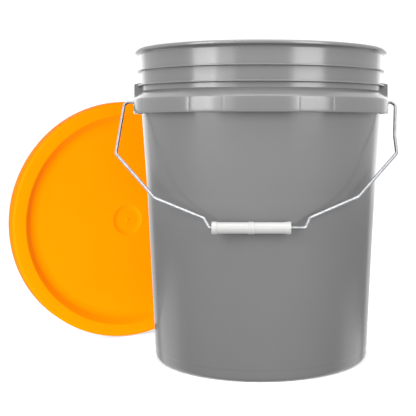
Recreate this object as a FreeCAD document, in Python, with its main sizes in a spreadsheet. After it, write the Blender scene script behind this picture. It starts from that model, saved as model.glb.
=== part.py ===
"""Plastic fermenting bucket: a moulded pail, its wire bail with a grip, and a gasketed lid.

The origin is the middle of the base, on the floor. +Z is up and -Y is the front, where the bail
hangs. The lid stands on its edge behind the bucket's left shoulder. Lengths are in millimetres.
"""
import FreeCAD, Part
import math
import os

import Sketcher

Vector = FreeCAD.Vector
Rotation = FreeCAD.Rotation

SIZES = {
    # roundings that many edges share, and how far a joined piece reaches into its neighbour
    "fine_round": 0.5,
    "edge_round": 0.6,
    "small_round": 0.8,
    "corner_round": 1.0,
    "bite": 1.0,
    # the bucket's foot and wall, from the floor up
    "base_radius": 130.3,
    "base_corner": 4.5,
    "foot_inner_radius": 112.0,
    "foot_height": 3.0,
    "hub_radius": 18.0,
    "spoke_width": 3.0,
    "spokes": 12,
    "floor_height": 5.4,
    "floor_corner": 6.0,
    "wall": 2.3,
    "waist_radius": 138.4,
    "waist_height": 205.0,
    "wall_top_radius": 143.8,
    # the collar that stiffens the wall and carries the bail
    "collar_radius": 153.7,
    "collar_bottom": 295.4,
    "collar_edge": 312.0,
    "collar_edge_round": 2.5,
    "collar_top": 321.6,
    "collar_wall": 2.3,
    "collar_roof": 316.6,
    "collar_roof_edge": 310.8,
    "web_width": 1.5,
    "web_bottom": 297.5,
    "web_inner_top": 318.5,
    "web_outer_top": 311.6,
    "web_spacing": 15.0,
    "webs_to_a_side": 11,
    # the neck above the collar, its two ribs and the rim
    "neck_radius": 144.0,
    "neck_foot_round": 1.2,
    "lower_rib_root": 144.1,
    "upper_rib_root": 144.4,
    "neck_top_radius": 144.8,
    "rib_radius": 148.5,
    "rib_width": 1.7,
    "lower_rib_bottom": 327.2,
    "upper_rib_bottom": 344.1,
    "rim_root": 364.6,
    "rim_root_round": 2.0,
    "rim_radius": 151.0,
    "rim_nose": 366.0,
    "rim_edge_round": 2.4,
    "rim_mouth_radius": 142.7,
    "rim_mouth_round": 1.5,
    "height": 370.0,
    # the two hollow ears in the collar
    "ear_radius": 152.2,
    "ear_top": 331.6,
    "ear_edge": 330.2,
    "ear_round": 1.5,
    "ear_bottom": 311.0,
    "ear_angle": 17.0,
    "ear_pocket_radius": 149.9,
    "ear_pocket_inner": 144.15,
    "ear_pocket_bottom": 299.4,
    "ear_pocket_angle": 14.4,
    "ear_pocket_top": 328.6,
    "pivot_height": 309.5,
    "wire_hole": 5.4,
    # the bail: across is measured from the middle, drop is measured down from the pivot
    "wire": 3.7,
    "hang_angle": 46.63,
    "hook_across": 147.4,
    "hook_length": 9.0,
    "hook_bend": 3.8,
    "shoulder_bend": 7.5,
    "left_shoulder": 165.7,
    "right_shoulder": 163.5,
    "right_bow": 156.4,
    "right_bow_drop": 58.7,
    "bow_bend": 60.0,
    "left_knee": 166.5,
    "left_knee_drop": 88.2,
    "right_knee": 156.0,
    "right_knee_drop": 87.0,
    "knee_bend": 9.0,
    "left_elbow": 116.3,
    "left_elbow_drop": 156.3,
    "right_elbow": 106.8,
    "right_elbow_drop": 154.3,
    "elbow_bend": 12.0,
    "left_step": 60.9,
    "left_step_drop": 185.3,
    "right_step": 52.1,
    "right_step_drop": 184.9,
    "left_seat": 54.6,
    "right_seat": 47.0,
    "seat_drop": 198.8,
    "step_bend": 5.0,
    "seat_bend": 3.0,
    # the grip on the bail
    "grip_length": 84.4,
    "grip_left_end": 52.4,
    "grip_bore": 4.5,
    "grip_body": 12.3,
    "grip_flange": 13.7,
    "grip_left_flange": 5.5,
    "grip_flange_slope": 0.5,
    "grip_right_flange": 6.5,
    "grip_right_rim": 2.5,
    "grip_flare_foot_round": 6.0,
    "grip_flare_round": 3.0,
    "grip_band": 13.4,
    "grip_band_width": 5.5,
    "grip_band_middle": 42.2,
    "grip_band_slope": 0.4,
    "grip_round": 0.6,
    # the lid, upright in its own frame: heights are from the bottom of its skirt
    "lid_radius": 156.0,
    "lid_height": 19.0,
    "lid_edge_round": 3.5,
    "skirt_wall": 2.3,
    "snap_bead_radius": 150.4,
    "snap_bead_height": 7.2,
    "snap_bead_top": 10.6,
    "snap_bead_bottom": 3.2,
    "channel_top": 16.6,
    "plug_radius": 141.9,
    "plug_foot_outer": 141.4,
    "plug_foot_inner": 138.6,
    "plug_root_radius": 135.6,
    "plug_root_height": 8.2,
    "recess_radius": 139.6,
    "recess_edge_round": 1.8,
    "recess_round": 16.0,
    "recess_foot_radius": 130.0,
    "recess_foot_height": 9.4,
    "panel_radius": 122.0,
    "panel_round": 20.0,
    "panel_height": 8.0,
    "panel_under": 5.8,
    "plug_bottom": 3.4,
    "dimple_radius": 20.4,
    "dimple_floor_radius": 17.6,
    "dimple_floor": 6.2,
    "dimple_under": 4.2,
    "dimple_under_radius": 20.9,
    "dimple_round": 1.5,
    "dimple_under_round": 2.0,
    "gate_radius": 2.6,
    "gate_top_radius": 2.3,
    "gate_round": 0.4,
    "gate_height": 7.3,
    "gasket_inner_radius": 144.6,
    "gasket_outer_radius": 152.4,
    "gasket_height": 3.0,
    "gasket_round": 1.0,
    # where the lid stands
    "lid_across": -172.0,
    "lid_back": 75.0,
    "lid_yaw": 32.0,
    "lid_lean": 1.5,
}


def make_sizes(doc):
    """The sheet of driving dimensions, one aliased cell each."""
    sheet = doc.addObject("Spreadsheet::Sheet", "Sizes")
    for row, (alias, number) in enumerate(SIZES.items(), start=1):
        sheet.set(f"A{row}", alias.replace("_", " "))
        sheet.set(f"B{row}", str(number))
        sheet.setAlias(f"B{row}", alias)
    doc.recompute()
    return sheet


def make_body(doc, label):
    body = doc.addObject("PartDesign::Body", label)
    body.Label = label
    return body


def origin_part(body, role):
    return next(part for part in body.Origin.OriginFeatures if part.Role == role)


def new_sketch(body, name, role, offset="0"):
    """An empty sketch on one of the body's origin planes, moved along that plane's normal."""
    sketch = body.newObject("Sketcher::SketchObject", name)
    sketch.AttachmentSupport = (origin_part(body, role), "")
    sketch.MapMode = "FlatFace"
    sketch.setExpression("AttachmentOffset.Base.z", offset)
    return sketch


def pin(sketch, line, end, across, up):
    """Bind one end of a line to two expressions, its distances from the sketch's origin."""
    for kind, axis, expression in (("DistanceX", -2, across), ("DistanceY", -1, up)):
        if expression == "0":
            sketch.addConstraint(Sketcher.Constraint("PointOnObject", line, end, axis))
        else:
            value = sketch.evalExpression(expression)
            index = sketch.addConstraint(Sketcher.Constraint(kind, -1, 1, line, end, value))
            sketch.setExpression(f"Constraints[{index}]", expression)


def round_corner(sketch, line, expression):
    """Replace the corner at the end of a line by a tangent arc of the given radius."""
    sketch.fillet(line, 2, sketch.evalExpression(expression), True, True)
    arc = max(i for i, curve in enumerate(sketch.Geometry) if isinstance(curve, Part.ArcOfCircle))
    index = sketch.addConstraint(Sketcher.Constraint("Radius", arc, sketch.Geometry[arc].Radius))
    sketch.setExpression(f"Constraints[{index}]", expression)


def draw_lines(sketch, corners, closed=True):
    """Draw straight lines through corners (across, up, radius of the rounding or None)."""
    points = [Vector(sketch.evalExpression(a), sketch.evalExpression(u), 0) for a, u, _ in corners]
    ends = points[1:] + points[:1] if closed else points[1:]
    lines = [sketch.addGeometry(Part.LineSegment(a, b)) for a, b in zip(points, ends)]
    for before, after in zip(lines, lines[1:]):
        sketch.addConstraint(Sketcher.Constraint("Coincident", before, 2, after, 1))
    if closed:
        sketch.addConstraint(Sketcher.Constraint("Coincident", lines[-1], 2, lines[0], 1))
    for line, (across, up, _) in zip(lines, corners):
        pin(sketch, line, 1, across, up)
    if not closed:
        pin(sketch, lines[-1], 2, *corners[-1][:2])
    for line, (_, _, radius) in zip(lines, corners[1:]):
        if radius:
            round_corner(sketch, line, radius)
    return sketch


def draw_circle(sketch, across, up, diameter):
    centre = Vector(sketch.evalExpression(across), sketch.evalExpression(up), 0)
    radius = sketch.evalExpression(diameter) / 2
    circle = sketch.addGeometry(Part.Circle(centre, Vector(0, 0, 1), radius))
    pin(sketch, circle, 3, across, up)
    index = sketch.addConstraint(Sketcher.Constraint("Diameter", circle, 2 * radius))
    sketch.setExpression(f"Constraints[{index}]", diameter)
    return sketch


def turn(body, kind, name, sketch, angle="360"):
    """Revolve a profile about its vertical axis, evenly to both sides of its plane."""
    feature = body.newObject(f"PartDesign::{kind}", name)
    feature.Profile = sketch
    feature.ReferenceAxis = (sketch, ["V_Axis"])
    feature.Midplane = True
    feature.setExpression("Angle", angle)
    return feature


def pad(body, name, sketch, length):
    feature = body.newObject("PartDesign::Pad", name)
    feature.Profile = sketch
    feature.setExpression("Length", length)
    return feature


def polar(body, name, originals, count, angle, backwards=False):
    """Repeat features about the body's upright axis."""
    pattern = body.newObject("PartDesign::PolarPattern", name)
    pattern.Originals = originals
    pattern.Axis = (origin_part(body, "Z_Axis"), [""])
    pattern.Reversed = backwards
    pattern.setExpression("Occurrences", count)
    pattern.setExpression("Angle", angle)
    body.Tip = pattern
    return pattern


def bucket_outline():
    """Half section of the pail, out along the foot, up the outside and down the inside."""
    lower_rib_top = "Sizes.lower_rib_bottom + Sizes.rib_width"
    upper_rib_top = "Sizes.upper_rib_bottom + Sizes.rib_width"
    skirt_inside = "Sizes.collar_radius - Sizes.collar_wall"
    return [
        ("0", "0", None),
        ("Sizes.hub_radius", "0", None),
        ("Sizes.hub_radius", "Sizes.foot_height", "Sizes.small_round"),
        ("Sizes.foot_inner_radius", "Sizes.foot_height", "Sizes.small_round"),
        ("Sizes.foot_inner_radius", "0", "Sizes.small_round"),
        ("Sizes.base_radius", "0", "Sizes.base_corner"),
        ("Sizes.waist_radius", "Sizes.waist_height", None),
        ("Sizes.wall_top_radius", "Sizes.collar_roof", "Sizes.corner_round"),
        (skirt_inside, "Sizes.collar_roof_edge", "Sizes.corner_round"),
        (skirt_inside, "Sizes.collar_bottom", "Sizes.edge_round"),
        ("Sizes.collar_radius", "Sizes.collar_bottom", "Sizes.edge_round"),
        ("Sizes.collar_radius", "Sizes.collar_edge", "Sizes.collar_edge_round"),
        ("Sizes.neck_radius", "Sizes.collar_top", "Sizes.neck_foot_round"),
        ("Sizes.neck_radius", "Sizes.lower_rib_bottom", "Sizes.fine_round"),
        ("Sizes.rib_radius", "Sizes.lower_rib_bottom", "Sizes.edge_round"),
        ("Sizes.rib_radius", lower_rib_top, "Sizes.edge_round"),
        ("Sizes.lower_rib_root", lower_rib_top, "Sizes.fine_round"),
        ("Sizes.upper_rib_root", "Sizes.upper_rib_bottom", "Sizes.fine_round"),
        ("Sizes.rib_radius", "Sizes.upper_rib_bottom", "Sizes.edge_round"),
        ("Sizes.rib_radius", upper_rib_top, "Sizes.edge_round"),
        ("Sizes.upper_rib_root", upper_rib_top, "Sizes.fine_round"),
        ("Sizes.neck_top_radius", "Sizes.rim_root", "Sizes.rim_root_round"),
        ("Sizes.rim_radius", "Sizes.rim_nose", "Sizes.corner_round"),
        ("Sizes.rim_radius", "Sizes.height", "Sizes.rim_edge_round"),
        ("Sizes.rim_mouth_radius", "Sizes.height", "Sizes.rim_mouth_round"),
        ("Sizes.neck_radius - Sizes.wall", "Sizes.collar_top", None),
        ("Sizes.waist_radius - Sizes.wall", "Sizes.waist_height", None),
        ("Sizes.base_radius - Sizes.wall", "Sizes.floor_height", "Sizes.floor_corner"),
        ("0", "Sizes.floor_height", None),
    ]


def add_foot_spokes(body):
    """Radial spokes in the recess under the base, level with the hub and the foot ring."""
    inner = "Sizes.hub_radius - Sizes.bite"
    outer = "Sizes.foot_inner_radius + Sizes.bite"
    corners = [
        (inner, "-Sizes.spoke_width / 2", None),
        (outer, "-Sizes.spoke_width / 2", None),
        (outer, "Sizes.spoke_width / 2", None),
        (inner, "Sizes.spoke_width / 2", None),
    ]
    sketch = draw_lines(new_sketch(body, "spoke_outline", "XY_Plane"), corners)
    spoke = pad(body, "foot_spoke", sketch, "Sizes.foot_height + Sizes.bite / 2")
    polar(body, "foot_spokes", [spoke], "Sizes.spokes", "360")


def add_collar_webs(body):
    """Upright webs inside the collar, evenly spaced except where the ears are."""
    inner = "Sizes.neck_radius - Sizes.bite"
    outer = "Sizes.collar_radius - Sizes.collar_wall + Sizes.bite / 2"
    sweep = "(Sizes.webs_to_a_side - 1) * Sizes.web_spacing"
    sketch = new_sketch(body, "web_outline", "YZ_Plane")
    sketch.AttachmentOffset = FreeCAD.Placement(Vector(), Rotation(Vector(0, 1, 0), 1))
    sketch.setExpression("AttachmentOffset.Rotation.Angle", f"-{sweep} / 2")
    for sign in ("", "-"):
        corners = [
            (f"{sign}({inner})", "Sizes.web_bottom", None),
            (f"{sign}({outer})", "Sizes.web_bottom", None),
            (f"{sign}({outer})", "Sizes.web_outer_top", None),
            (f"{sign}({inner})", "Sizes.web_inner_top", None),
        ]
        draw_lines(sketch, corners)
    webs = pad(body, "web_pair", sketch, "Sizes.web_width")
    webs.Midplane = True
    polar(body, "collar_webs", [webs], "Sizes.webs_to_a_side", sweep)


def add_ears(body):
    """The two hollow ears on the X axis, open below, each with a hole for the bail's wire."""
    block = [
        ("Sizes.neck_radius - Sizes.bite", "Sizes.ear_bottom", None),
        ("Sizes.ear_radius", "Sizes.ear_bottom", None),
        ("Sizes.ear_radius", "Sizes.ear_edge", "Sizes.ear_round"),
        ("Sizes.neck_radius - Sizes.bite", "Sizes.ear_top", None),
    ]
    hollow = [
        ("Sizes.ear_pocket_inner", "Sizes.ear_pocket_bottom", None),
        ("Sizes.ear_pocket_radius", "Sizes.ear_pocket_bottom", None),
        ("Sizes.ear_pocket_radius", "Sizes.ear_pocket_top", "Sizes.corner_round"),
        ("Sizes.ear_pocket_inner", "Sizes.ear_pocket_top", "Sizes.corner_round"),
    ]
    ear = turn(body, "Revolution", "ear",
               draw_lines(new_sketch(body, "ear_outline", "XZ_Plane"), block), "Sizes.ear_angle")
    pocket = turn(body, "Groove", "ear_pocket",
                  draw_lines(new_sketch(body, "pocket_outline", "XZ_Plane"), hollow),
                  "Sizes.ear_pocket_angle")
    circle = new_sketch(body, "hole_outline", "YZ_Plane", "Sizes.ear_pocket_radius - Sizes.bite")
    draw_circle(circle, "0", "Sizes.pivot_height", "Sizes.wire_hole")
    hole = body.newObject("PartDesign::Pocket", "wire_hole")
    hole.Profile = circle
    hole.Reversed = True
    hole.setExpression("Length", "Sizes.collar_radius - Sizes.ear_pocket_radius + 2 * Sizes.bite")
    polar(body, "both_ears", [ear, pocket, hole], "2", "360")


def make_bucket(doc):
    body = make_body(doc, "bucket")
    outline = draw_lines(new_sketch(body, "section", "XZ_Plane"), bucket_outline())
    turn(body, "Revolution", "shell", outline)
    add_foot_spokes(body)
    add_collar_webs(body)
    add_ears(body)
    return body


def bail_route():
    """The wire's centre line from one hooked end to the other, across and down the bail."""
    def side(name, sign, bow):
        return [
            (f"{sign}Sizes.hook_across", "-Sizes.hook_length", None),
            (f"{sign}Sizes.hook_across", "0", "Sizes.hook_bend"),
            (f"{sign}Sizes.{name}_shoulder", "0", "Sizes.shoulder_bend"),
            *bow,
            (f"{sign}Sizes.{name}_knee", f"Sizes.{name}_knee_drop", "Sizes.knee_bend"),
            (f"{sign}Sizes.{name}_elbow", f"Sizes.{name}_elbow_drop", "Sizes.elbow_bend"),
            (f"{sign}Sizes.{name}_step", f"Sizes.{name}_step_drop", "Sizes.step_bend"),
            (f"{sign}Sizes.{name}_seat", "Sizes.seat_drop", "Sizes.seat_bend"),
        ]
    bow = [("Sizes.right_bow", "Sizes.right_bow_drop", "Sizes.bow_bend")]
    return side("left", "-", []) + side("right", "", bow)[::-1]


def bail_placement(sizes):
    """The bail's plane, tipped forward from straight down by its hang angle."""
    turned = Rotation(Vector(1, 0, 0), -(90 + sizes.hang_angle))
    return FreeCAD.Placement(Vector(0, 0, sizes.pivot_height), turned)


def make_bail_wire(doc, sizes):
    body = make_body(doc, "bail_wire")
    route = new_sketch(body, "route", "XY_Plane")
    draw_lines(route, bail_route(), closed=False)
    section = new_sketch(body, "wire_section", "XZ_Plane", "Sizes.hook_length")
    draw_circle(section, "-Sizes.hook_across", "0", "Sizes.wire")
    wire = body.newObject("PartDesign::AdditivePipe", "bent_wire")
    wire.Profile = section
    wire.Spine = route
    body.Placement = bail_placement(sizes)
    return body


def make_bail_grip(doc, sizes):
    """A moulded sleeve with a flange at each end and a band round its middle."""
    body = make_body(doc, "bail_grip")
    edge = "Sizes.grip_round"
    low_band = "Sizes.grip_band_middle - Sizes.grip_band_width / 2"
    high_band = "Sizes.grip_band_middle + Sizes.grip_band_width / 2"
    flare_start = "Sizes.grip_length - Sizes.grip_right_flange"
    corners = [
        ("Sizes.grip_bore / 2", "0", edge),
        ("Sizes.grip_flange / 2", "0", edge),
        ("Sizes.grip_flange / 2", "Sizes.grip_left_flange", edge),
        ("Sizes.grip_body / 2", "Sizes.grip_left_flange + Sizes.grip_flange_slope", edge),
        ("Sizes.grip_body / 2", f"{low_band} - Sizes.grip_band_slope", edge),
        ("Sizes.grip_band / 2", low_band, "Sizes.grip_band_slope"),
        ("Sizes.grip_band / 2", high_band, "Sizes.grip_band_slope"),
        ("Sizes.grip_body / 2", f"{high_band} + Sizes.grip_band_slope", edge),
        ("Sizes.grip_body / 2", flare_start, "Sizes.grip_flare_foot_round"),
        ("Sizes.grip_flange / 2", "Sizes.grip_length - Sizes.grip_right_rim", "Sizes.grip_flare_round"),
        ("Sizes.grip_flange / 2", "Sizes.grip_length", edge),
        ("Sizes.grip_bore / 2", "Sizes.grip_length", edge),
    ]
    outline = draw_lines(new_sketch(body, "section", "XZ_Plane"), corners)
    turn(body, "Revolution", "sleeve", outline)
    end = Vector(-sizes.grip_left_end, sizes.seat_drop, 0)
    along_wire = Rotation(Vector(0, 1, 0), 90)
    body.Placement = FreeCAD.Placement(bail_placement(sizes).multVec(end), along_wire)
    return body


def lid_placement(sizes):
    """The lid on its edge, its top face turned to the front and leaning at the bucket."""
    yaw = Rotation(Vector(0, 0, 1), sizes.lid_yaw)
    upright = Rotation(Vector(1, 0, 0), 90 + sizes.lid_lean)
    turned = yaw * upright
    lean = math.radians(sizes.lid_lean)
    height = sizes.lid_radius * math.cos(lean) - sizes.lid_edge_round * math.sin(lean)
    top_centre = Vector(sizes.lid_across, sizes.lid_back, height)
    base = top_centre - turned.multVec(Vector(0, 0, sizes.lid_height))
    return FreeCAD.Placement(base, turned)


def lid_outline():
    """Half section of the lid, along its underside and back over its top."""
    skirt_inside = "Sizes.lid_radius - Sizes.skirt_wall"
    return [
        ("0", "Sizes.dimple_under", None),
        ("Sizes.dimple_floor_radius", "Sizes.dimple_under", "Sizes.dimple_under_round"),
        ("Sizes.dimple_under_radius", "Sizes.panel_under", "Sizes.dimple_under_round"),
        ("Sizes.panel_radius", "Sizes.panel_under", None),
        ("Sizes.plug_root_radius", "Sizes.plug_root_height", "Sizes.corner_round"),
        ("Sizes.plug_foot_inner", "Sizes.plug_bottom", "Sizes.small_round"),
        ("Sizes.plug_foot_outer", "Sizes.plug_bottom", "Sizes.corner_round"),
        ("Sizes.plug_radius", "Sizes.channel_top", "Sizes.corner_round"),
        (skirt_inside, "Sizes.channel_top", "Sizes.corner_round"),
        (skirt_inside, "Sizes.snap_bead_top", "Sizes.corner_round"),
        ("Sizes.snap_bead_radius", "Sizes.snap_bead_height", "Sizes.small_round"),
        (skirt_inside, "Sizes.snap_bead_bottom", "Sizes.corner_round"),
        (skirt_inside, "0", "Sizes.edge_round"),
        ("Sizes.lid_radius", "0", "Sizes.edge_round"),
        ("Sizes.lid_radius", "Sizes.lid_height", "Sizes.lid_edge_round"),
        ("Sizes.recess_radius", "Sizes.lid_height", "Sizes.recess_edge_round"),
        ("Sizes.recess_foot_radius", "Sizes.recess_foot_height", "Sizes.recess_round"),
        ("Sizes.panel_radius", "Sizes.panel_height", "Sizes.panel_round"),
        ("Sizes.dimple_radius", "Sizes.panel_height", "Sizes.corner_round"),
        ("Sizes.dimple_floor_radius", "Sizes.dimple_floor", "Sizes.dimple_round"),
        ("Sizes.gate_radius", "Sizes.dimple_floor", "Sizes.gate_round"),
        ("Sizes.gate_top_radius", "Sizes.gate_height", "Sizes.gate_round"),
        ("0", "Sizes.gate_height", None),
    ]


def make_lid(doc, sizes):
    body = make_body(doc, "lid")
    outline = draw_lines(new_sketch(body, "section", "XZ_Plane"), lid_outline())
    turn(body, "Revolution", "disc", outline)
    body.Placement = lid_placement(sizes)
    return body


def make_lid_gasket(doc, sizes):
    """A soft ring in the top of the lid's channel, where the bucket's rim presses."""
    body = make_body(doc, "lid_gasket")
    bottom = "Sizes.channel_top - Sizes.gasket_height"
    corners = [
        ("Sizes.gasket_inner_radius", bottom, "Sizes.gasket_round"),
        ("Sizes.gasket_outer_radius", bottom, "Sizes.gasket_round"),
        ("Sizes.gasket_outer_radius", "Sizes.channel_top", None),
        ("Sizes.gasket_inner_radius", "Sizes.channel_top", None),
    ]
    outline = draw_lines(new_sketch(body, "section", "XZ_Plane"), corners)
    turn(body, "Revolution", "ring", outline)
    body.Placement = lid_placement(sizes)
    return body


def check(doc, bodies):
    """Stop if any object failed, or a piece isn't one sound solid."""
    for thing in doc.Objects:
        if "Invalid" in thing.State or "Error" in thing.State:
            raise RuntimeError(f"{thing.Name} failed: {thing.State}")
    for body in bodies:
        shape = body.Shape
        if shape.isNull() or not shape.isValid() or len(shape.Solids) != 1:
            raise RuntimeError(f"{body.Label} is not one sound solid")
        box = shape.optimalBoundingBox()
        print(f"{body.Label}: {shape.Volume / 1000:.1f} cm3, faces {len(shape.Faces)}, "
              f"x {box.XMin:.1f} {box.XMax:.1f}, y {box.YMin:.1f} {box.YMax:.1f}, "
              f"z {box.ZMin:.2f} {box.ZMax:.1f}")


def main():
    doc = FreeCAD.newDocument("fermenting_bucket")
    sizes = make_sizes(doc)
    bodies = [
        make_bucket(doc),
        make_bail_wire(doc, sizes),
        make_bail_grip(doc, sizes),
        make_lid(doc, sizes),
        make_lid_gasket(doc, sizes),
    ]
    doc.recompute()
    check(doc, bodies)
    os.makedirs("parts", exist_ok=True)
    for body in bodies:
        body.Shape.exportStep(f"parts/{body.Label}.step")


main()
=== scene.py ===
"""Looks for the plastic fermenting bucket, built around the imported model.

Outlines are in millimetres, as the design is, and meshes are made from them in metres.
"""
import math

import bmesh
import bpy
from mathutils import Matrix, Vector


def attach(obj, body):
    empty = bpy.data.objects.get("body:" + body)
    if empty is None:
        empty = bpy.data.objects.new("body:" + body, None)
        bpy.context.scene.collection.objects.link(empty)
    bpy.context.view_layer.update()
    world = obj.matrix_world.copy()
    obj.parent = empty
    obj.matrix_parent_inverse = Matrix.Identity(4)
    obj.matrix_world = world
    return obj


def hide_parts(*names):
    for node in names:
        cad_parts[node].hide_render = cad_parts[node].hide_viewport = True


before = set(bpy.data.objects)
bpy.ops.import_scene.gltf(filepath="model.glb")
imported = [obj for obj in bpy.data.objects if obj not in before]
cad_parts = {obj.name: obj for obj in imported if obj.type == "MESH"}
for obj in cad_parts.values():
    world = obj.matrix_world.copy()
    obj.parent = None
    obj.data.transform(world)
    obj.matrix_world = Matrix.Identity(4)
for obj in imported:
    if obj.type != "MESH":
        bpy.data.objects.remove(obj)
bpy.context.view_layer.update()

MM = 0.001

# The bucket, as the design has it
BASE_RADIUS = 130.3
FOOT_INNER = 112.0
FOOT_HEIGHT = 3.0
FOOT_BAND = 14.0
HUB_RADIUS = 18.0
SPOKES = 12
SPOKE_WIDTH = 3.0
FLOOR_HEIGHT = 5.4
WALL = 2.3
WALL_TOP_RADIUS = 143.75
WAIST_RADIUS = 138.4
WAIST_HEIGHT = 205.0
COLLAR_RADIUS = 153.7
COLLAR_BOTTOM = 295.4
COLLAR_EDGE = 312.0
COLLAR_TOP = 321.6
SHOULDER_RADIUS = 152.4
SHOULDER_HEIGHT = 313.3
COLLAR_INSIDE = 151.4
COLLAR_ROOF = 316.6
COLLAR_ROOF_EDGE = 310.8
WEB_BOTTOM = 297.5
WEB_SPACING = 15.0
WEB_HALF_ANGLE = 0.30
WEB_EDGE_ANGLE = 0.05
SINK_DEPTH = 0.16
SINK_ANGLE = 0.45
NECK_RADIUS = 144.0
NECK_FOOT_RADIUS = 144.15
NECK_FOOT_HEIGHT = 332.2
NECK_TOP_RADIUS = 144.8
RIB_RADIUS = 148.5
RIB_WIDTH = 1.7
LOWER_RIB = 327.2
UPPER_RIB = 344.1
RIM_ROOT = 364.6
RIM_RADIUS = 151.0
RIM_NOSE = 366.0
RIM_MOUTH = 142.7
HEIGHT = 370.0
EAR_RADIUS = 152.2
EAR_TOP = 331.6
EAR_HALF_ANGLE = 8.5
EAR_EDGE_ANGLE = 0.3
POCKET_RADIUS = 149.9
POCKET_TOP = 328.6
POCKET_HALF_ANGLE = 7.2
PIVOT_HEIGHT = 309.5
WIRE_HOLE = 5.4
COLUMN_ANGLE = 2.0

# The bail and its grip
WIRE = 3.7
WIRE_END_EASE = 0.5
HANG_ANGLE = 46.63
SEAT_DROP = 198.8
GRIP_LEFT_END = -52.4
GRIP_LENGTH = 84.4
GRIP_BORE = 4.5
GRIP_BODY = 12.3
GRIP_FLANGE = 13.7
GRIP_BAND = 13.4
SEAM_HEIGHT = 0.14
SEAM_ANGLE = 2.2
GRIP_COLUMNS = 96

# The lid, and where it stands
LID_RADIUS = 156.0
LID_HEIGHT = 19.0
LID_EDGE_ROUND = 3.5
LID_ACROSS = -172.0
LID_BACK = 75.0
LID_YAW = 32.0
LID_LEAN = 1.5
LID_COLUMNS = 288
SKIRT_INSIDE = 153.7
CHANNEL_ROOF = 16.6
PANEL_TOP = 8.0
PANEL_UNDER = 5.8
DIMPLE_TOP = 6.0
DIMPLE_UNDER = 4.2
GATE_TOP = 7.3

# The floor, in metres
FLOOR_HALF = 3.0
FLOOR_DROP = 0.0002


# ---------------------------------------------------------------- outlines

def rounded(corners, closed=False, steps=5):
    """Points along straight lines whose corners (across, up, radius) are rounded."""
    points = []
    count = len(corners)
    for i, (a, u, radius) in enumerate(corners):
        here = Vector((a, u))
        if not radius or (not closed and i in (0, count - 1)):
            points.append(here)
            continue
        back = (Vector(corners[i - 1][:2]) - here).normalized()
        ahead = (Vector(corners[(i + 1) % count][:2]) - here).normalized()
        half = back.angle(ahead) / 2
        middle = (back + ahead).normalized()
        centre = here + middle * radius / math.sin(half)
        first = back * radius / math.tan(half) + here - centre
        last = ahead * radius / math.tan(half) + here - centre
        sweep = math.atan2(first.cross(last), first.dot(last))
        for k in range(steps + 1):
            points.append(centre + turned(first, sweep * k / steps))
    return points


def turned(vector, angle):
    """A plane vector turned anticlockwise."""
    c, s = math.cos(angle), math.sin(angle)
    return Vector((c * vector.x - s * vector.y, s * vector.x + c * vector.y))


def divided(points, spacing):
    """The same outline with long runs divided, so that no step is longer than spacing."""
    result = []
    for a, b in zip(points, points[1:]):
        parts = max(1, math.ceil((b - a).length / spacing))
        result += [a.lerp(b, k / parts) for k in range(parts)]
    return result + [points[-1]]


def lengths_along(points):
    """How far along the line each point lies, from 0 to 1."""
    total = [0.0]
    for a, b in zip(points, points[1:]):
        total.append(total[-1] + (b - a).length)
    return [t / total[-1] for t in total]


def matched(points, fractions):
    """Points on the line at the given fractions of its length."""
    own = lengths_along(points)
    result = []
    k = 0
    for f in fractions:
        while k < len(own) - 2 and own[k + 1] < f:
            k += 1
        span = own[k + 1] - own[k]
        result.append(points[k].lerp(points[k + 1], (f - own[k]) / span if span else 0.0))
    return result


# ---------------------------------------------------------------- meshes

def link(name, mesh):
    piece = bpy.data.objects.new(name, mesh)
    bpy.context.scene.collection.objects.link(piece)
    return piece


def smooth(mesh):
    """Smooth shading, kept sharp where two faces meet at more than 32 degrees."""
    mesh.polygons.foreach_set("use_smooth", [True] * len(mesh.polygons))
    mesh.set_sharp_from_angle(angle=math.radians(32))


def mesh_from(name, bm):
    """A smooth mesh, its faces turned outwards, from a bmesh that isn't needed any more."""
    bmesh.ops.recalc_face_normals(bm, faces=bm.faces)
    mesh = bpy.data.meshes.new(name)
    bm.to_mesh(mesh)
    bm.free()
    smooth(mesh)
    return mesh


def join_rings(bm, rings, closed):
    """Faces between neighbouring rings of vertices. A ring of one vertex is a point on the axis."""
    pairs = list(zip(rings, rings[1:])) + ([(rings[-1], rings[0])] if closed else [])
    for low, high in pairs:
        for i in range(max(len(low), len(high))):
            j = i + 1
            corner = [low[i % len(low)], low[j % len(low)], high[j % len(high)], high[i % len(high)]]
            bm.faces.new(list(dict.fromkeys(corner)))


def lathe(name, rows, angles):
    """A solid of revolution about Z. Each row is a point (radius, height), or a function of the angle
    that gives one. Rows that start and end on the axis make an open line, and any others close."""
    bm = bmesh.new()
    rings = []
    for row in rows:
        at = row if callable(row) else lambda angle, fixed=row: fixed
        if at(0.0).x < 1e-6:
            rings.append([bm.verts.new((0, 0, at(0.0).y * MM))])
            continue
        ring = []
        for angle in angles:
            r, z = at(angle)
            ring.append(bm.verts.new((r * math.cos(angle) * MM, r * math.sin(angle) * MM, z * MM)))
        rings.append(ring)
    join_rings(bm, rings, closed=len(rings[0]) > 1)
    return mesh_from(name, bm)


def even_angles(count):
    return [2 * math.pi * i / count for i in range(count)]


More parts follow.
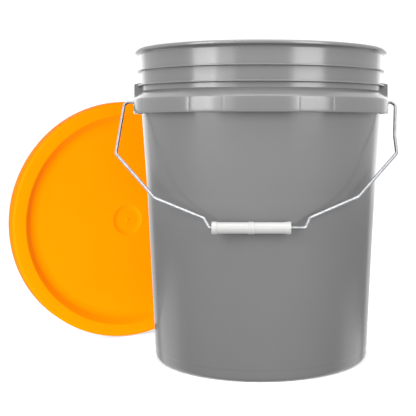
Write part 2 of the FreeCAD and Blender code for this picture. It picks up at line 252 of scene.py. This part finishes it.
def tube(name, path, radius, around=20):
    """A round bar along a path in one plane (Vectors in that plane, in mm), with eased ends."""
    bm = bmesh.new()
    across = Vector((0, 0, 1))
    ease = WIRE_END_EASE

    def ring(centre, along, size):
        side = Vector((-along.y, along.x, 0))
        points = []
        for k in range(around):
            a = 2 * math.pi * k / around
            out = side * math.cos(a) + across * math.sin(a)
            points.append(bm.verts.new((centre + out * size) * MM))
        return points

    flat = [Vector((p.x, p.y, 0)) for p in path]
    tangents = []
    for i in range(len(flat)):
        before, after = flat[max(i - 1, 0)], flat[min(i + 1, len(flat) - 1)]
        tangents.append((after - before).normalized())
    rings = [[bm.verts.new(flat[0] * MM)]]
    rings.append(ring(flat[0], tangents[0], radius - ease))
    rings.append(ring(flat[0] + tangents[0] * ease, tangents[0], radius))
    for centre, along in list(zip(flat, tangents))[1:-1]:
        rings.append(ring(centre, along, radius))
    rings.append(ring(flat[-1] - tangents[-1] * ease, tangents[-1], radius))
    rings.append(ring(flat[-1], tangents[-1], radius - ease))
    rings.append([bm.verts.new(flat[-1] * MM)])
    join_rings(bm, rings, closed=False)
    return mesh_from(name, bm)


def combine(piece, other, operation):
    """Cut or add another mesh, and put the result into the piece."""
    change = piece.modifiers.new("combine", "BOOLEAN")
    change.operation = operation
    change.solver = "MANIFOLD"
    change.object = other
    depsgraph = bpy.context.evaluated_depsgraph_get()
    result = bpy.data.meshes.new_from_object(piece.evaluated_get(depsgraph))
    piece.modifiers.clear()
    piece.data = result
    piece.data.materials.clear()
    bpy.data.objects.remove(other)
    smooth(piece.data)


# ---------------------------------------------------------------- the bucket

def angle_from(angle, centre):
    """Degrees from an angle to a centre, the short way round."""
    return abs((math.degrees(angle) - centre + 180) % 360 - 180)


def ear_weight(angle, half):
    """1 within an ear whose half width is given in degrees, 0 outside it, and eased over its edge."""
    off = min(angle_from(angle, 0), angle_from(angle, 180))
    t = min(max((half - off) / EAR_EDGE_ANGLE + 0.5, 0.0), 1.0)
    return t * t * (3 - 2 * t)


def web_angles():
    """Where the webs stand inside the collar, in degrees: evenly round, but not at the ears."""
    every = [i * WEB_SPACING for i in range(round(360 / WEB_SPACING))]
    return [a for a in every if a not in (0, 180)]


def web_offset(angle):
    """Degrees from an angle to the nearest web."""
    return min(angle_from(angle, a) for a in web_angles())


def bucket_angles():
    """Columns of the bucket's mesh: even all round, closer at the webs and at the ears' sides."""
    found = {round(i * COLUMN_ANGLE, 3) for i in range(round(360 / COLUMN_ANGLE))}
    for web in web_angles():
        for off in (WEB_HALF_ANGLE, WEB_HALF_ANGLE + WEB_EDGE_ANGLE, 0.75):
            found |= {round(web - off, 3), round(web + off, 3)}
    for ear in (0, 180):
        for half in (EAR_HALF_ANGLE, POCKET_HALF_ANGLE):
            for off in (-0.25, -0.12, 0.0, 0.12, 0.25):
                for side in (ear - half, ear + half):
                    found.add(round((side + off) % 360, 3))
    return [math.radians(a) for a in sorted(found)]


def foot_rows():
    """Under the base, from the middle out, and up the outside to inside the collar."""
    return divided(rounded([
        (0, 0, None),
        (HUB_RADIUS, 0, 0.5),
        (HUB_RADIUS, FOOT_HEIGHT, 0.8),
        (FOOT_INNER, FOOT_HEIGHT, 0.8),
        (FOOT_INNER, 0, 0.8),
        (BASE_RADIUS, 0, 4.5),
        (BASE_RADIUS + 0.25, FOOT_BAND - 2.0, 4.0),
        (BASE_RADIUS + 0.6, FOOT_BAND, 4.0),
        (WAIST_RADIUS, WAIST_HEIGHT, 300),
        (WALL_TOP_RADIUS, WEB_BOTTOM, None),
    ], steps=5), 14)


def collar_hollow_rows():
    """The hollow between wall and collar: plain, as an ear's pocket, and where a web fills it."""
    plain = divided(rounded([
        (WALL_TOP_RADIUS, WEB_BOTTOM, None),
        (NECK_RADIUS - 0.2, COLLAR_ROOF, 1.0),
        (COLLAR_INSIDE, COLLAR_ROOF_EDGE, 1.0),
        (COLLAR_INSIDE, WEB_BOTTOM, None),
    ]), 3)
    pocket = rounded([
        (WALL_TOP_RADIUS, WEB_BOTTOM, None),
        (NECK_RADIUS, POCKET_TOP, 1.0),
        (POCKET_RADIUS, POCKET_TOP, 1.0),
        (POCKET_RADIUS, COLLAR_ROOF_EDGE, 0.5),
        (COLLAR_INSIDE, COLLAR_ROOF_EDGE - 1.2, 0.5),
        (COLLAR_INSIDE, WEB_BOTTOM, None),
    ])
    fractions = lengths_along(plain)
    filled = matched([plain[0], plain[-1]], fractions)
    rows = []
    for here, ear, web in zip(plain, matched(pocket, fractions), filled):
        def at(angle, here=here, ear=ear, web=web):
            point = here.lerp(ear, ear_weight(angle, POCKET_HALF_ANGLE))
            inside = (WEB_HALF_ANGLE + WEB_EDGE_ANGLE - web_offset(angle)) / WEB_EDGE_ANGLE
            return point.lerp(web, min(max(inside, 0.0), 1.0))
        rows.append(at)
    return rows[1:-1]


def collar_rows():
    """Down inside the collar's skirt, round its edge and up its face, with faint sinks at the webs."""
    line = divided(rounded([
        (COLLAR_INSIDE, WEB_BOTTOM, None),
        (COLLAR_INSIDE, COLLAR_BOTTOM, 0.5),
        (COLLAR_RADIUS, COLLAR_BOTTOM, 0.7),
        (COLLAR_RADIUS, COLLAR_EDGE, 2.5),
        (SHOULDER_RADIUS, SHOULDER_HEIGHT, None),
    ]), 3)
    rows = []
    for point in line:
        def at(angle, point=point):
            if point.x < COLLAR_RADIUS - 0.2:
                return point
            sink = SINK_DEPTH * math.exp(-(web_offset(angle) / SINK_ANGLE) ** 2)
            return Vector((point.x - sink, point.y))
        rows.append(at)
    return rows


def shoulder_rows():
    """From the collar's edge over the shoulder and lower rib, where each ear stands out as a block."""
    plain = divided(rounded([
        (SHOULDER_RADIUS, SHOULDER_HEIGHT, None),
        (NECK_RADIUS, COLLAR_TOP, 1.2),
        (NECK_RADIUS, LOWER_RIB, 0.5),
        (RIB_RADIUS, LOWER_RIB, 0.6),
        (RIB_RADIUS, LOWER_RIB + RIB_WIDTH, 0.6),
        (NECK_RADIUS + 0.1, LOWER_RIB + RIB_WIDTH, 0.5),
        (NECK_FOOT_RADIUS, NECK_FOOT_HEIGHT, None),
    ]), 1.2)
    block = rounded([
        (SHOULDER_RADIUS, SHOULDER_HEIGHT, None),
        (EAR_RADIUS, EAR_TOP - 1.4, 1.5),
        (NECK_FOOT_RADIUS, EAR_TOP, 0.4),
        (NECK_FOOT_RADIUS, NECK_FOOT_HEIGHT, None),
    ])
    rows = []
    for here, ear in zip(plain, matched(block, lengths_along(plain))):
        def at(angle, here=here, ear=ear):
            return here.lerp(ear, ear_weight(angle, EAR_HALF_ANGLE))
        rows.append(at)
    return rows[1:]


def neck_and_inside_rows():
    """Up the neck, over the upper rib and the rim, and down the inside to the middle of the floor."""
    return divided(rounded([
        (NECK_FOOT_RADIUS, NECK_FOOT_HEIGHT, None),
        (NECK_RADIUS + 0.4, UPPER_RIB, 0.5),
        (RIB_RADIUS, UPPER_RIB, 0.6),
        (RIB_RADIUS, UPPER_RIB + RIB_WIDTH, 0.6),
        (NECK_RADIUS + 0.4, UPPER_RIB + RIB_WIDTH, 0.5),
        (NECK_TOP_RADIUS, RIM_ROOT, 2.0),
        (RIM_RADIUS, RIM_NOSE, 1.0),
        (RIM_RADIUS, HEIGHT, 2.4),
        (RIM_MOUTH, HEIGHT, 1.5),
        (NECK_RADIUS - WALL, COLLAR_TOP, 60),
        (WAIST_RADIUS - WALL, WAIST_HEIGHT, 300),
        (BASE_RADIUS - WALL, FLOOR_HEIGHT, 6.0),
        (0, FLOOR_HEIGHT, None),
    ], steps=6), 14)[1:]


def add_foot_spokes(piece):
    """Radial spokes across the recess under the base, each end and the top sunk into the base."""
    bm = bmesh.new()
    inner, outer = HUB_RADIUS - 1, FOOT_INNER + 1
    bottom, top = 0.05, FOOT_HEIGHT + 0.65
    for i in range(SPOKES):
        turn = Matrix.Rotation(2 * math.pi * i / SPOKES, 4, "Z")
        place = Matrix.Translation(((inner + outer) / 2 * MM, 0, (bottom + top) / 2 * MM))
        size = Matrix.Diagonal(((outer - inner) * MM, SPOKE_WIDTH * MM, (top - bottom) * MM, 1))
        bmesh.ops.create_cube(bm, size=1.0, matrix=turn @ place @ size)
    spokes = link("spokes", mesh_from("spokes", bm))
    combine(piece, spokes, "UNION")


def cut_wire_holes(piece):
    """A hole through the collar into each ear's pocket, on the bail's axis."""
    bm = bmesh.new()
    inner, outer = POCKET_RADIUS - 2, POCKET_RADIUS + 5
    for side in (-1, 1):
        place = Matrix.Translation((side * (inner + outer) / 2 * MM, 0, PIVOT_HEIGHT * MM))
        bmesh.ops.create_cone(
            bm, cap_ends=True, segments=32, radius1=WIRE_HOLE / 2 * MM, radius2=WIRE_HOLE / 2 * MM,
            depth=(outer - inner) * MM, matrix=place @ Matrix.Rotation(math.pi / 2, 4, "Y"))
    drill = link("drill", mesh_from("drill", bm))
    combine(piece, drill, "DIFFERENCE")


def make_bucket():
    rows = foot_rows() + collar_hollow_rows() + collar_rows() + shoulder_rows() + neck_and_inside_rows()
    piece = link("bucket_shell", lathe("bucket_shell", rows, bucket_angles()))
    add_foot_spokes(piece)
    cut_wire_holes(piece)
    piece.data.materials.append(grey_plastic())
    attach(piece, "bucket")
    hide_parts("bucket")


# ---------------------------------------------------------------- the bail

def bail_route():
    """The wire's centre line, across and down from the pivot, hook to hook."""
    left = [
        (-147.4, -9.0, None),
        (-147.4, 0.0, 3.8),
        (-165.7, 0.0, 7.5),
        (-166.5, 88.2, 9.0),
        (-116.3, 156.3, 12.0),
        (-60.9, 185.3, 5.0),
        (-54.6, SEAT_DROP, 3.0),
    ]
    right = [
        (47.0, SEAT_DROP, 3.0),
        (52.1, 184.9, 5.0),
        (106.8, 154.3, 12.0),
        (156.0, 87.0, 9.0),
        (156.4, 58.7, 60.0),
        (163.5, 0.0, 7.5),
        (147.4, 0.0, 3.8),
        (147.4, -9.0, None),
    ]
    return divided(rounded(left + right, steps=8), 6)


def bail_matrix():
    """From the bail's own plane to its place: X stays across, Y points down the bail."""
    place = Matrix.Translation((0, 0, PIVOT_HEIGHT * MM))
    return place @ Matrix.Rotation(-math.radians(90 + HANG_ANGLE), 4, "X")


def make_bail():
    mesh = tube("bail", bail_route(), WIRE / 2)
    mesh.transform(bail_matrix())
    piece = link("bail", mesh)
    piece.data.materials.append(zinc_wire())
    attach(piece, "bail")
    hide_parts("bail_wire")


def make_grip():
    """A moulded sleeve with end flanges, a double band in the middle and a fine seam along two sides."""
    middle = GRIP_LENGTH / 2
    outline = rounded([
        (GRIP_BORE / 2, 0, 0.6),
        (GRIP_FLANGE / 2, 0, 0.9),
        (GRIP_FLANGE / 2, 5.2, 0.5),
        (GRIP_BODY / 2, 5.9, 0.6),
        (GRIP_BODY / 2, middle - 3.1, 0.5),
        (GRIP_BAND / 2, middle - 2.6, 0.4),
        (GRIP_BAND / 2, middle - 1.1, 0.4),
        (GRIP_BODY / 2 + 0.25, middle - 0.7, 0.3),
        (GRIP_BODY / 2 + 0.25, middle + 0.7, 0.3),
        (GRIP_BAND / 2, middle + 1.1, 0.4),
        (GRIP_BAND / 2, middle + 2.6, 0.4),
        (GRIP_BODY / 2, middle + 3.1, 0.5),
        (GRIP_BODY / 2, GRIP_LENGTH - 7.5, 6.0),
        (GRIP_FLANGE / 2, GRIP_LENGTH - 2.8, 3.0),
        (GRIP_FLANGE / 2, GRIP_LENGTH, 0.9),
        (GRIP_BORE / 2, GRIP_LENGTH, 0.6),
    ], closed=True)
    outline = divided(outline + [outline[0]], 5)[:-1]

    def seamed(point):
        def at(angle):
            off = min(angle_from(angle, 90), angle_from(angle, 270))
            outside = point.x > GRIP_BODY / 2 - 0.05
            lift = SEAM_HEIGHT * math.exp(-(off / SEAM_ANGLE) ** 2) if outside else 0.0
            return Vector((point.x + lift, point.y))
        return at

    mesh = lathe("grip", [seamed(point) for point in outline], even_angles(GRIP_COLUMNS))
    along_wire = Matrix.Rotation(math.pi / 2, 4, "Y")
    end = bail_matrix() @ Vector((GRIP_LEFT_END * MM, SEAT_DROP * MM, 0))
    mesh.transform(Matrix.Translation(end) @ along_wire)
    piece = link("grip", mesh)
    piece.data.materials.append(white_plastic())
    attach(piece, "grip")
    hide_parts("bail_grip")


# ---------------------------------------------------------------- the lid

def lid_matrix():
    """From the lid's own frame, upright with its skirt at the bottom, to where it stands."""
    lean = math.radians(LID_LEAN)
    turn = Matrix.Rotation(math.radians(LID_YAW), 4, "Z") @ Matrix.Rotation(math.pi / 2 + lean, 4, "X")
    height = LID_RADIUS * math.cos(lean) - LID_EDGE_ROUND * math.sin(lean)
    top = Matrix.Translation(Vector((LID_ACROSS, LID_BACK, height)) * MM)
    return top @ turn @ Matrix.Translation((0, 0, -LID_HEIGHT * MM))


def lid_outline():
    """Half section, along the underside and back over the top."""
    return divided(rounded([
        (0, DIMPLE_UNDER, None),
        (17.6, DIMPLE_UNDER, 2.0),
        (20.9, PANEL_UNDER, 2.0),
        (122.0, PANEL_UNDER, 20.0),
        (135.6, 8.2, 1.0),
        (138.6, 3.4, 0.8),
        (141.4, 3.4, 1.0),
        (141.9, CHANNEL_ROOF, 1.0),
        (SKIRT_INSIDE, CHANNEL_ROOF, 1.0),
        (SKIRT_INSIDE, 10.6, 1.0),
        (150.4, 7.2, 0.8),
        (SKIRT_INSIDE, 3.2, 1.0),
        (SKIRT_INSIDE, 0, 0.7),
        (LID_RADIUS, 0, 0.8),
        (LID_RADIUS, LID_HEIGHT, LID_EDGE_ROUND),
        (139.6, LID_HEIGHT, 1.8),
        (130.0, 9.4, 16.0),
        (122.0, PANEL_TOP, 20.0),
        (20.4, PANEL_TOP, 0.8),
        (16.6, DIMPLE_TOP, 15.0),
        (2.6, DIMPLE_TOP, 0.4),
        (2.3, GATE_TOP, 0.4),
        (0, GATE_TOP, None),
    ], steps=7), 8)


def make_lid():
    mesh = lathe("lid_disc", lid_outline(), even_angles(LID_COLUMNS))
    mesh.transform(lid_matrix())
    piece = link("lid_disc", mesh)
    piece.data.materials.append(orange_plastic())
    piece.visible_glossy = False
    piece.visible_diffuse = False
    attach(piece, "lid")
    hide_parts("lid")


def make_gasket():
    outline = rounded([
        (144.6, 13.6, 1.0),
        (152.4, 13.6, 1.0),
        (152.4, CHANNEL_ROOF, 0.2),
        (144.6, CHANNEL_ROOF, 0.2),
    ], closed=True)
    mesh = lathe("gasket", outline, even_angles(LID_COLUMNS))
    mesh.transform(lid_matrix())
    piece = link("gasket", mesh)
    piece.data.materials.append(gasket_foam())
    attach(piece, "lid")
    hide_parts("lid_gasket")


# ---------------------------------------------------------------- materials

class Nodes:
    """A node tree, with short ways to add the nodes that are used here."""

    def __init__(self, tree):
        self.tree = tree

    def add(self, kind):
        return self.tree.nodes.new(kind)

    def feed(self, value, socket):
        """Set a socket to a number, or join another node's output to it."""
        if isinstance(value, float):
            socket.default_value = value
        else:
            self.tree.links.new(value, socket)

    def maths(self, operation, *values):
        node = self.add("ShaderNodeMath")
        node.operation = operation
        for value, socket in zip(values, node.inputs):
            self.feed(value, socket)
        return node.outputs[0]

    def spread(self, value, low, high, to_low=0.0, to_high=1.0, easing="LINEAR"):
        """A value mapped from one range to another, and held within it."""
        node = self.add("ShaderNodeMapRange")
        node.interpolation_type = easing
        ends = {"From Min": low, "From Max": high, "To Min": to_low, "To Max": to_high}
        for name, number in ends.items():
            node.inputs[name].default_value = number
        self.feed(value, node.inputs["Value"])
        return node.outputs["Result"]

    def noise(self, place, scale, detail=3.0, stretch=(1, 1, 1)):
        """Soft noise, finer along an axis whose stretch is over 1."""
        mapping = self.add("ShaderNodeMapping")
        mapping.inputs["Scale"].default_value = stretch
        self.feed(place, mapping.inputs["Vector"])
        node = self.add("ShaderNodeTexNoise")
        node.inputs["Scale"].default_value = scale
        node.inputs["Detail"].default_value = detail
        self.feed(mapping.outputs["Vector"], node.inputs["Vector"])
        return node.outputs["Fac"]

    def mix_colour(self, factor, dark, light):
        node = self.add("ShaderNodeMix")
        node.data_type = "RGBA"
        node.inputs[6].default_value = (*dark, 1)
        node.inputs[7].default_value = (*light, 1)
        self.feed(factor, node.inputs["Factor"])
        return node.outputs[2]

    def bump(self, height, strength, distance, normal=None):
        node = self.add("ShaderNodeBump")
        node.inputs["Strength"].default_value = strength
        node.inputs["Distance"].default_value = distance
        self.feed(height, node.inputs["Height"])
        if normal is not None:
            self.feed(normal, node.inputs["Normal"])
        return node.outputs["Normal"]


def new_material(name):
    """A material with its nodes, its shader's sockets and the place on the piece."""
    material = bpy.data.materials.new(name)
    material.use_nodes = True
    nodes = Nodes(material.node_tree)
    sockets = material.node_tree.nodes["Principled BSDF"].inputs
    place = nodes.add("ShaderNodeTexCoord").outputs["Object"]
    return material, nodes, sockets, place


def scuff_mask(nodes, place, bands):
    """Fine rubbed lines round the piece, only at the heights (low, high, edge) that get handled."""
    lines = nodes.spread(nodes.noise(place, 60.0, 4.0, (1, 1, 14)), 0.58, 0.80)
    split = nodes.add("ShaderNodeSeparateXYZ")
    nodes.feed(place, split.inputs[0])
    height = split.outputs["Z"]
    where = None
    for low, high, edge in bands:
        rising = nodes.spread(height, (low - edge) * MM, low * MM)
        falling = nodes.spread(height, high * MM, (high + edge) * MM, 1.0, 0.0)
        band = nodes.maths("MULTIPLY", rising, falling)
        where = band if where is None else nodes.maths("MAXIMUM", where, band)
    return nodes.maths("MULTIPLY", lines, where)


def moulded_plastic(name, dark, light, rough, level, ripple=0.04, bands=()):
    """Moulded polyethylene: a faint cloudiness of colour, an upright ripple, a fine skin and scuffs."""
    material, nodes, sockets, place = new_material(name)
    cloud = nodes.spread(nodes.noise(place, 9.0), 0.35, 0.65)
    gloss = nodes.spread(nodes.noise(place, 30.0, 5.0), 0.35, 0.7, *rough)
    if bands:
        scuffs = scuff_mask(nodes, place, bands)
        cloud = nodes.maths("MAXIMUM", cloud, scuffs)
        gloss = nodes.maths("ADD", gloss, nodes.spread(scuffs, 0.0, 1.0, 0.0, 0.06))
    slow = nodes.bump(nodes.noise(place, 16.0, 1.0, (1, 1, 0.3)), ripple, 0.001)
    fine = nodes.bump(nodes.noise(place, 1400.0, 2.0), 0.04, 0.0001, slow)
    nodes.feed(nodes.mix_colour(cloud, dark, light), sockets["Base Color"])
    nodes.feed(gloss, sockets["Roughness"])
    nodes.feed(fine, sockets["Normal"])
    sockets["Specular IOR Level"].default_value = level
    return material


def grey_plastic():
    """The pail's plastic, scuffed round the foot and on the rim."""
    bands = ((0.5, 12.0, 10.0), (RIM_NOSE, HEIGHT, 1.0))
    return moulded_plastic("grey_polyethylene", (0.125, 0.125, 0.125), (0.131, 0.131, 0.131),
                           (0.17, 0.22), 0.5, bands=bands)


def orange_plastic():
    return moulded_plastic("orange_polyethylene", (0.98, 0.205, 0.0), (1.0, 0.215, 0.0),
                           (0.42, 0.50), 0.01)


def white_plastic():
    return moulded_plastic("white_polyethylene", (0.385, 0.385, 0.38), (0.41, 0.41, 0.405),
                           (0.34, 0.44), 0.5, ripple=0.05)


def zinc_wire():
    """Zinc-plated drawn wire: bright metal with fine marks and dull patches."""
    material, nodes, sockets, place = new_material("zinc_wire")
    patch = nodes.spread(nodes.noise(place, 160.0, 4.0), 0.35, 0.65)
    gloss = nodes.spread(nodes.noise(place, 420.0, 4.0), 0.3, 0.7, 0.42, 0.58)
    marks = nodes.bump(nodes.noise(place, 900.0, 3.0), 0.15, 0.0001)
    nodes.feed(nodes.mix_colour(patch, (0.25, 0.25, 0.26), (0.33, 0.34, 0.35)), sockets["Base Color"])
    nodes.feed(gloss, sockets["Roughness"])
    nodes.feed(marks, sockets["Normal"])
    sockets["Metallic"].default_value = 1.0
    return material


def gasket_foam():
    material, nodes, sockets, place = new_material("gasket_foam")
    patch = nodes.noise(place, 300.0, 4.0)
    cells = nodes.bump(nodes.noise(place, 1500.0, 3.0), 0.4, 0.0002)
    nodes.feed(nodes.mix_colour(patch, (0.50, 0.48, 0.43), (0.60, 0.58, 0.52)), sockets["Base Color"])
    nodes.feed(cells, sockets["Normal"])
    sockets["Roughness"].default_value = 0.8
    return material


def floor_paint():
    material = bpy.data.materials.new("pale_floor")
    material.use_nodes = True
    sockets = material.node_tree.nodes["Principled BSDF"].inputs
    sockets["Base Color"].default_value = (0.93, 0.93, 0.93, 1)
    sockets["Roughness"].default_value = 0.9
    sockets["Specular IOR Level"].default_value = 0.0
    return material


# ---------------------------------------------------------------- stage, light and camera

def make_floor():
    bm = bmesh.new()
    bmesh.ops.create_grid(bm, x_segments=1, y_segments=1, size=FLOOR_HALF)
    floor = link("floor", mesh_from("floor", bm))
    floor.data.materials.append(floor_paint())
    floor.location.z = -FLOOR_DROP
    floor.visible_glossy = False
    floor.visible_diffuse = False


def make_world():
    """A white surround. The light from it is white behind and above, and greyer in front. Diffuse light
    also comes up from the floor, and in reflections the floor is darker than what stands round it."""
    world = bpy.data.worlds.new("studio")
    bpy.context.scene.world = world
    world.use_nodes = True
    nodes = Nodes(world.node_tree)
    rays = nodes.add("ShaderNodeLightPath")
    split = nodes.add("ShaderNodeSeparateXYZ")
    nodes.feed(nodes.add("ShaderNodeTexCoord").outputs["Generated"], split.inputs[0])
    across, along, up = split.outputs

    def ramp(value, *ends):
        return nodes.spread(value, *ends, easing="SMOOTHSTEP")

    def add_up(first, *others):
        total = first
        for other in others:
            total = nodes.maths("ADD", total, other)
        return total

    def white(strength):
        node = nodes.add("ShaderNodeBackground")
        node.inputs["Color"].default_value = (1, 1, 1, 1)
        nodes.feed(strength, node.inputs["Strength"])
        return node.outputs[0]

    def either(ray, one, other):
        node = nodes.add("ShaderNodeMixShader")
        for value, socket in zip((rays.outputs[ray], one, other), node.inputs):
            nodes.feed(value, socket)
        return node.outputs[0]

    # The light that falls on the pieces
    overhead = ramp(up, 0.35, 0.9, 0.0, 0.8)
    behind = ramp(along, 0.62, 0.93, 0.50, 1.05)
    from_floor = ramp(up, -0.16, 0.0, 0.60, 0.0)
    diffuse = add_up(behind, overhead, from_floor)

    # What they reflect: the backdrop, the room above the floor's far edge, and pale ground at the sides
    backdrop = add_up(ramp(along, 0.74, 0.84, 0.25, 1.0), ramp(along, -0.7, 0.1, 0.35, 0.0))
    above_edge = nodes.maths("MULTIPLY_ADD", along, -0.064, up)
    room = add_up(ramp(above_edge, -0.165, -0.120, 0.0, 0.7), ramp(up, -0.05, 0.10, 0.0, 0.4))
    beside = nodes.maths("MULTIPLY", ramp(along, -0.15, 0.35, 0.0, 1.3),
                         ramp(along, 0.60, 0.80, 1.0, 0.0))
    above_ground = nodes.maths("MULTIPLY_ADD", across, 0.02, up)
    ground = nodes.maths("MULTIPLY", beside, ramp(above_ground, -0.26, -0.24, 1.0, 0.0))
    glossy = add_up(add_up(backdrop, room), add_up(ground, overhead))

    mixed = either("Is Glossy Ray", white(diffuse), white(glossy))
    mixed = either("Is Camera Ray", mixed, white(1.1))
    world.node_tree.nodes.remove(world.node_tree.nodes["Background"])
    nodes.feed(mixed, world.node_tree.nodes["World Output"].inputs["Surface"])


def soft_box(name, place, aim, size, power, beam=math.pi, lid_only=False):
    """An area light at a place, turned to an aim. It lights either the lid and its gasket alone, or
    everything else. The lid's own light isn't shaded by the pail."""
    light = bpy.data.lights.new(name, "AREA")
    light.shape = "RECTANGLE"
    light.size, light.size_y = size
    light.energy = power
    light.spread = beam
    box = bpy.data.objects.new(name, light)
    box.location = place
    box.rotation_euler = (Vector(aim) - Vector(place)).to_track_quat("-Z", "Y").to_euler()
    box.visible_camera = False
    bpy.context.scene.collection.objects.link(box)
    lid = bpy.data.collections.new(name + "_lid")
    for piece in ("lid_disc", "gasket"):
        lid.objects.link(bpy.data.objects[piece])
    box.light_linking.receiver_collection = lid
    if lid_only:
        box.light_linking.blocker_collection = lid
    else:
        for member in lid.collection_objects:
            member.light_linking.link_state = "EXCLUDE"


def make_lights():
    soft_box("left_box", (-1.03, -0.87, 0.76), (0, 0, 0.76), (0.52, 1.04), 14)
    soft_box("left_side", (-0.77, -1.18, 0.76), (0, 0, 0.76), (0.52, 1.04), 5)
    soft_box("right_box", (0.89, -1.02, 0.76), (0, 0, 0.76), (0.68, 1.04), 16)
    soft_box("top_box", (0, -0.35, 1.7), (0, 0, 0.2), (1.2, 1.0), 12)
    soft_box("lid_box", (-0.28, -1.12, 0.13), (0.16, 0.15, 0.13), (0.6, 0.6), 6.4,
             beam=1.4, lid_only=True)


def make_camera():
    """The viewpoint: just below the rim's height, a metre in front, looking slightly down."""
    camera = bpy.data.cameras.new("camera")
    camera.lens = 72.7
    camera.sensor_width = 36.0
    camera.shift_x = -0.1274
    camera.shift_y = -0.0008
    view = bpy.data.objects.new("camera", camera)
    view.location = (0, -1.030, 0.281)
    view.rotation_euler = (math.radians(84.43), 0, 0)
    bpy.context.scene.collection.objects.link(view)
    bpy.context.scene.camera = view
    bpy.context.scene.view_settings.view_transform = "Standard"


make_camera()
make_bucket()
make_bail()
make_grip()
make_lid()
make_gasket()
make_floor()
make_world()
make_lights()
